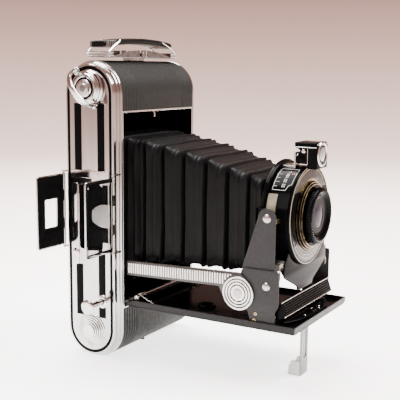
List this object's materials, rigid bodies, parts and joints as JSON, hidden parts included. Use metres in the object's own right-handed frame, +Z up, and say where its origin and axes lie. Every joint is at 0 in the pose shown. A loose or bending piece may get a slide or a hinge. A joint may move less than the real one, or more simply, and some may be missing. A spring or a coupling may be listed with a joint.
{
  "type": "folding roll film camera",
  "caption": "Self-erecting folding roll-film camera: body with drop bed, braced lens board, bellows, folding side finder, winding key and handle, standing open on its round end and bed leg.",
  "frame": {"origin": "lowest point of the rounded end on the middle plane of the film width, on the surface that the camera stands on", "axes": "+Z up along the body, the lens looks along -Y, +X to the right seen from the lens side; the winding key and folding finder are at -X"},
  "size_m": [0.114, 0.1482, 0.1884],
  "materials": {
    "leather_black": "fine grained covering",
    "leather_bellows": "folded, slightly glossy",
    "enamel_black": "gloss baked enamel",
    "crackle_grey": "crackle paint",
    "nickel": "bright nickel plate",
    "steel": "brushed",
    "brass": "lacquered",
    "aluminium": "bare",
    "glass": "coated lens glass",
    "red_glass": "dark red window",
    "handle": "padded grip"
  },
  "bodies": {
    "case": {"main_casing": "enamel_black", "casing_leather": "leather_black", "side_plate_left": "enamel_black", "side_plate_right": "enamel_black", "film_gate": "enamel_black", "spool_pins": "steel", "hinge_pins": "steel", "handle_base": "nickel", "handle_clips": "nickel", "handle_grip": "handle", "finder_base": "nickel", "case_screws": "nickel", "bellows": "leather_bellows"},
    "bed": {"bed_panel": "enamel_black", "bed_leather": "leather_black", "tripod_bush": "steel", "bed_bracket_left": "crackle_grey", "bed_bracket_right": "crackle_grey", "leg_housing": "enamel_black", "bed_spring": "nickel", "bracket_rivets": "nickel"},
    "leg": {"support_leg": "nickel"},
    "release_bar": {"release_bar": "enamel_black"},
    "wing_left": {"wing_left": "crackle_grey"},
    "wing_right": {"wing_right": "crackle_grey"},
    "strut_left": {"strut_left": "nickel"},
    "strut_right": {"strut_right": "nickel"},
    "board": {"lens_board": "enamel_black", "standard_front_plate": "enamel_black", "board_rivets": "nickel", "shutter_housing": "enamel_black", "faceplate": "crackle_grey", "speed_scale_plate": "brass", "lens_barrel": "brass", "rear_lens": "glass", "shutter_blades": "enamel_black"},
    "focus_ring": {"focus_ring": "enamel_black", "front_lens": "glass"},
    "aperture_lever": {"aperture_lever": "steel"},
    "speed_lever": {"speed_lever": "steel"},
    "release_lever": {"release_lever": "steel"},
    "reflex_finder": {"reflex_finder_body": "enamel_black", "reflex_finder_lens": "glass"},
    "key": {"winding_key": "nickel"},
    "key_bail": {"key_bail": "nickel"},
    "take_up_spool": {"take_up_spool": "enamel_black"},
    "roller_upper": {"roller_upper": "nickel"},
    "roller_lower": {"roller_lower": "nickel"},
    "finder_front": {"finder_front_frame": "nickel", "finder_front_lens": "glass"},
    "finder_rear": {"finder_rear_frame": "nickel"},
    "back": {"back_cover": "enamel_black", "back_leather": "leather_black", "pressure_plate": "enamel_black", "red_window": "red_glass"},
    "window_slide": {"window_slide": "nickel"},
    "back_latch": {"back_latch": "nickel"},
    "bed_catch": {"bed_catch": "nickel"},
    "side_knob": {"side_knob": "nickel"}
  },
  "joints": [
    {"name": "bed_fold", "type": "hinge", "parent": "case", "child": "bed", "pos_m": [0, -0.0175, 0.035], "axis": [-1, 0, 0], "range_deg": [0, 90], "deforming": ["bellows"]},
    {"name": "wing_left_fold", "type": "hinge", "parent": "bed", "child": "wing_left", "pos_m": [0, -0.1094, 0.0567], "axis": [-1, 0, 0], "range_deg": [0, 91.5]},
    {"name": "wing_right_fold", "type": "hinge", "parent": "bed", "child": "wing_right", "pos_m": [0, -0.1094, 0.0567], "axis": [-1, 0, 0], "range_deg": [0, 91.5]},
    {"name": "board_fold", "type": "hinge", "parent": "wing_left", "child": "board", "pos_m": [0, -0.1085, 0.0932], "axis": [1, 0, 0], "range_deg": [0, 181.5]},
    {"name": "strut_left_fold", "type": "hinge", "parent": "bed", "child": "strut_left", "pos_m": [0, -0.093, 0.0511], "axis": [-1, 0, 0], "range_deg": [0, 4]},
    {"name": "strut_right_fold", "type": "hinge", "parent": "bed", "child": "strut_right", "pos_m": [0, -0.093, 0.0511], "axis": [-1, 0, 0], "range_deg": [0, 4]},
    {"name": "release_bar_press", "type": "hinge", "parent": "bed", "child": "release_bar", "pos_m": [0, -0.1136, 0.0406], "axis": [1, 0, 0], "range_deg": [0, 6], "stiffness_Nm_per_rad": 0.03, "springref_deg": -5.73},
    {"name": "leg_fold", "type": "hinge", "parent": "bed", "child": "leg", "pos_m": [-0.004, -0.1186, 0.0312], "axis": [1, 0, 0], "range_deg": [0, 77]},
    {"name": "focus_turn", "type": "hinge", "parent": "board", "child": "focus_ring", "pos_m": [0, -0.112, 0.0911], "axis": [0, -1, 0], "range_deg": [0, 250]},
    {"name": "aperture_set", "type": "hinge", "parent": "board", "child": "aperture_lever", "pos_m": [0, -0.112, 0.0911], "axis": [0, -1, 0], "range_deg": [-20, 20]},
    {"name": "speed_set", "type": "hinge", "parent": "board", "child": "speed_lever", "pos_m": [0, -0.112, 0.0911], "axis": [0, -1, 0], "range_deg": [0, 60]},
    {"name": "release_press", "type": "hinge", "parent": "board", "child": "release_lever", "pos_m": [0, -0.112, 0.0911], "axis": [0, -1, 0], "range_deg": [0, 12], "stiffness_Nm_per_rad": 0.01, "springref_deg": -5.73},
    {"name": "reflex_finder_turn", "type": "hinge", "parent": "board", "child": "reflex_finder", "pos_m": [-0.0056, -0.1136, 0.1244], "axis": [0, -1, 0], "range_deg": [0, 90]},
    {"name": "key_turn", "type": "hinge", "parent": "case", "child": "key", "pos_m": [-0.0476, 0, 0.15915], "axis": [1, 0, 0], "continuous": true},
    {"name": "bail_fold", "type": "hinge", "parent": "key", "child": "key_bail", "pos_m": [-0.0476, 0, 0.15915], "axis": [0, 0.5446, 0.8387], "range_deg": [-90, 0]},
    {"name": "spool_turn", "type": "hinge", "parent": "case", "child": "take_up_spool", "pos_m": [0, 0, 0.15915], "axis": [1, 0, 0], "continuous": true},
    {"name": "roller_upper_turn", "type": "hinge", "parent": "case", "child": "roller_upper", "pos_m": [0, 0.0129, 0.1474], "axis": [1, 0, 0], "continuous": true},
    {"name": "roller_lower_turn", "type": "hinge", "parent": "case", "child": "roller_lower", "pos_m": [0, 0.0129, 0.0326], "axis": [1, 0, 0], "continuous": true},
    {"name": "finder_front_fold", "type": "hinge", "parent": "case", "child": "finder_front", "pos_m": [-0.0473, -0.0185, 0.0884], "axis": [0, 0, -1], "range_deg": [0, 90]},
    {"name": "finder_rear_fold", "type": "hinge", "parent": "case", "child": "finder_rear", "pos_m": [-0.0455, 0.0185, 0.0884], "axis": [0, 0, 1], "range_deg": [0, 90]},
    {"name": "back_open", "type": "hinge", "parent": "case", "child": "back", "pos_m": [0, 0.0146, 0.008], "axis": [-1, 0, 0], "range_deg": [0, 90]},
    {"name": "latch_slide", "type": "slide", "parent": "back", "child": "back_latch", "axis": [0, 0, -1], "range_m": [0, 0.003], "stiffness_N_per_m": 150, "springref_m": -0.003},
    {"name": "window_slide_move", "type": "slide", "parent": "back", "child": "window_slide", "axis": [0, 0, 1], "range_m": [0, 0.012]},
    {"name": "bed_catch_press", "type": "slide", "parent": "case", "child": "bed_catch", "axis": [0, 0, 1], "range_m": [0, 0.001], "stiffness_N_per_m": 200, "springref_m": -0.001},
    {"name": "side_knob_press", "type": "slide", "parent": "case", "child": "side_knob", "axis": [1, 0, 0], "range_m": [0, 0.003], "stiffness_N_per_m": 150, "springref_m": -0.002}
  ],
  "couplings": [
    {"joint": "wing_left_fold", "follows": "bed_fold", "ratio": 1.0167},
    {"joint": "wing_right_fold", "follows": "bed_fold", "ratio": 1.0167},
    {"joint": "board_fold", "follows": "bed_fold", "ratio": 2.0167},
    {"joint": "strut_left_fold", "follows": "bed_fold", "ratio": 0.044444},
    {"joint": "strut_right_fold", "follows": "bed_fold", "ratio": 0.044444},
    {"joint": "spool_turn", "follows": "key_turn", "ratio": 1}
  ]
}
